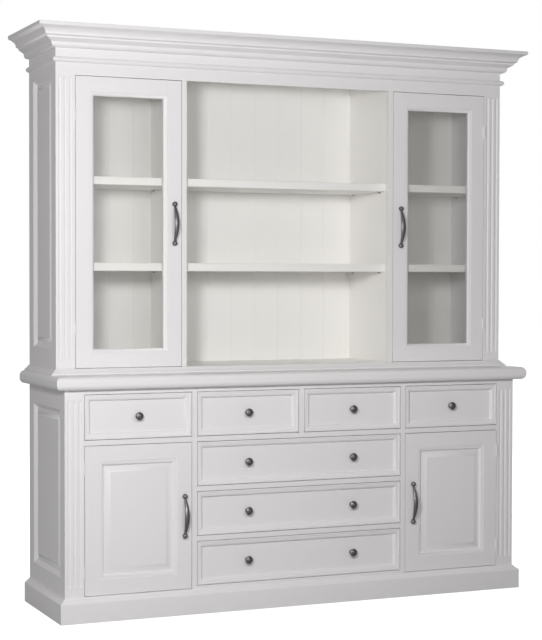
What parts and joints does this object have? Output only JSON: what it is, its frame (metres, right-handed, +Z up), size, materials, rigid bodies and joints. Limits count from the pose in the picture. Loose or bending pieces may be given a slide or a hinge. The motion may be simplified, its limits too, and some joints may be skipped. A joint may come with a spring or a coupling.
{
  "type": "buffet cabinet",
  "caption": "Tall two-part buffet cabinet: sliding drawers and panelled doors below, glazed doors beside an open shelved niche above, with a moulded cornice.",
  "frame": {"origin": "on the floor under the middle of the cabinet's bounding box", "axes": "+Z up, +X to the right seen from the front, -Y to the front where doors and drawers open"},
  "size_m": [2.069, 0.523, 2.203],
  "materials": {
    "white_paint": "satin white paint on wood",
    "drawer_wood": "bare sanded wood",
    "pewter": "dark pewter, rubbed satin",
    "clear_glass": "clear float glass"
  },
  "bodies": {
    "cabinet": {"base_back_panel": "white_paint", "base_bottom_board": "white_paint", "base_face_frame": "white_paint", "base_partition_left": "white_paint", "base_partition_right": "white_paint", "base_side_left": "white_paint", "base_side_right": "white_paint", "cornice": "white_paint", "countertop": "white_paint", "hutch_back_boards": "white_paint", "hutch_bottom_board": "white_paint", "hutch_face_frame": "white_paint", "hutch_partition_left": "white_paint", "hutch_partition_right": "white_paint", "hutch_side_left": "white_paint", "hutch_side_right": "white_paint", "hutch_top_board": "white_paint", "plinth": "white_paint", "shelf_left_lower": "white_paint", "shelf_left_upper": "white_paint", "shelf_niche_lower": "white_paint", "shelf_niche_upper": "white_paint", "shelf_right_lower": "white_paint", "shelf_right_upper": "white_paint"},
    "drawer_left": {"drawer_front_left": "white_paint", "drawer_box_left": "drawer_wood", "knob_left": "pewter"},
    "drawer_centre_left": {"drawer_front_centre_left": "white_paint", "drawer_box_centre_left": "drawer_wood", "knob_centre_left": "pewter"},
    "drawer_centre_right": {"drawer_front_centre_right": "white_paint", "drawer_box_centre_right": "drawer_wood", "knob_centre_right": "pewter"},
    "drawer_right": {"drawer_front_right": "white_paint", "drawer_box_right": "drawer_wood", "knob_right": "pewter"},
    "drawer_wide_top": {"drawer_front_wide_top": "white_paint", "drawer_box_wide_top": "drawer_wood", "knob_wide_top_left": "pewter", "knob_wide_top_right": "pewter"},
    "drawer_wide_middle": {"drawer_front_wide_middle": "white_paint", "drawer_box_wide_middle": "drawer_wood", "knob_wide_middle_left": "pewter", "knob_wide_middle_right": "pewter"},
    "drawer_wide_bottom": {"drawer_front_wide_bottom": "white_paint", "drawer_box_wide_bottom": "drawer_wood", "knob_wide_bottom_left": "pewter", "knob_wide_bottom_right": "pewter"},
    "lower_door_left": {"lower_door_frame_left": "white_paint", "lower_door_panel_left": "white_paint", "lower_door_handle_left": "pewter"},
    "lower_door_right": {"lower_door_frame_right": "white_paint", "lower_door_panel_right": "white_paint", "lower_door_handle_right": "pewter"},
    "glass_door_left": {"glass_door_frame_left": "white_paint", "glass_pane_left": "clear_glass", "glass_door_handle_left": "pewter"},
    "glass_door_right": {"glass_door_frame_right": "white_paint", "glass_pane_right": "clear_glass", "glass_door_handle_right": "pewter"}
  },
  "joints": [
    {"name": "slide_left", "type": "slide", "parent": "cabinet", "child": "drawer_left", "axis": [0, -1, 0], "range_m": [0, 0.33]},
    {"name": "slide_centre_left", "type": "slide", "parent": "cabinet", "child": "drawer_centre_left", "axis": [0, -1, 0], "range_m": [0, 0.33]},
    {"name": "slide_centre_right", "type": "slide", "parent": "cabinet", "child": "drawer_centre_right", "axis": [0, -1, 0], "range_m": [0, 0.33]},
    {"name": "slide_right", "type": "slide", "parent": "cabinet", "child": "drawer_right", "axis": [0, -1, 0], "range_m": [0, 0.33]},
    {"name": "slide_wide_top", "type": "slide", "parent": "cabinet", "child": "drawer_wide_top", "axis": [0, -1, 0], "range_m": [0, 0.33]},
    {"name": "slide_wide_middle", "type": "slide", "parent": "cabinet", "child": "drawer_wide_middle", "axis": [0, -1, 0], "range_m": [0, 0.33]},
    {"name": "slide_wide_bottom", "type": "slide", "parent": "cabinet", "child": "drawer_wide_bottom", "axis": [0, -1, 0], "range_m": [0, 0.33]},
    {"name": "hinge_lower_door_left", "type": "hinge", "parent": "cabinet", "child": "lower_door_left", "pos_m": [-0.875, -0.225, 0.37215], "axis": [0, 0, -1], "range_deg": [0, 110]},
    {"name": "hinge_lower_door_right", "type": "hinge", "parent": "cabinet", "child": "lower_door_right", "pos_m": [0.875, -0.225, 0.37215], "axis": [0, 0, 1], "range_deg": [0, 110]},
    {"name": "hinge_glass_door_left", "type": "hinge", "parent": "cabinet", "child": "glass_door_left", "pos_m": [-0.875, -0.112, 1.47445], "axis": [0, 0, -1], "range_deg": [0, 110]},
    {"name": "hinge_glass_door_right", "type": "hinge", "parent": "cabinet", "child": "glass_door_right", "pos_m": [0.875, -0.112, 1.47445], "axis": [0, 0, 1], "range_deg": [0, 110]}
  ]
}
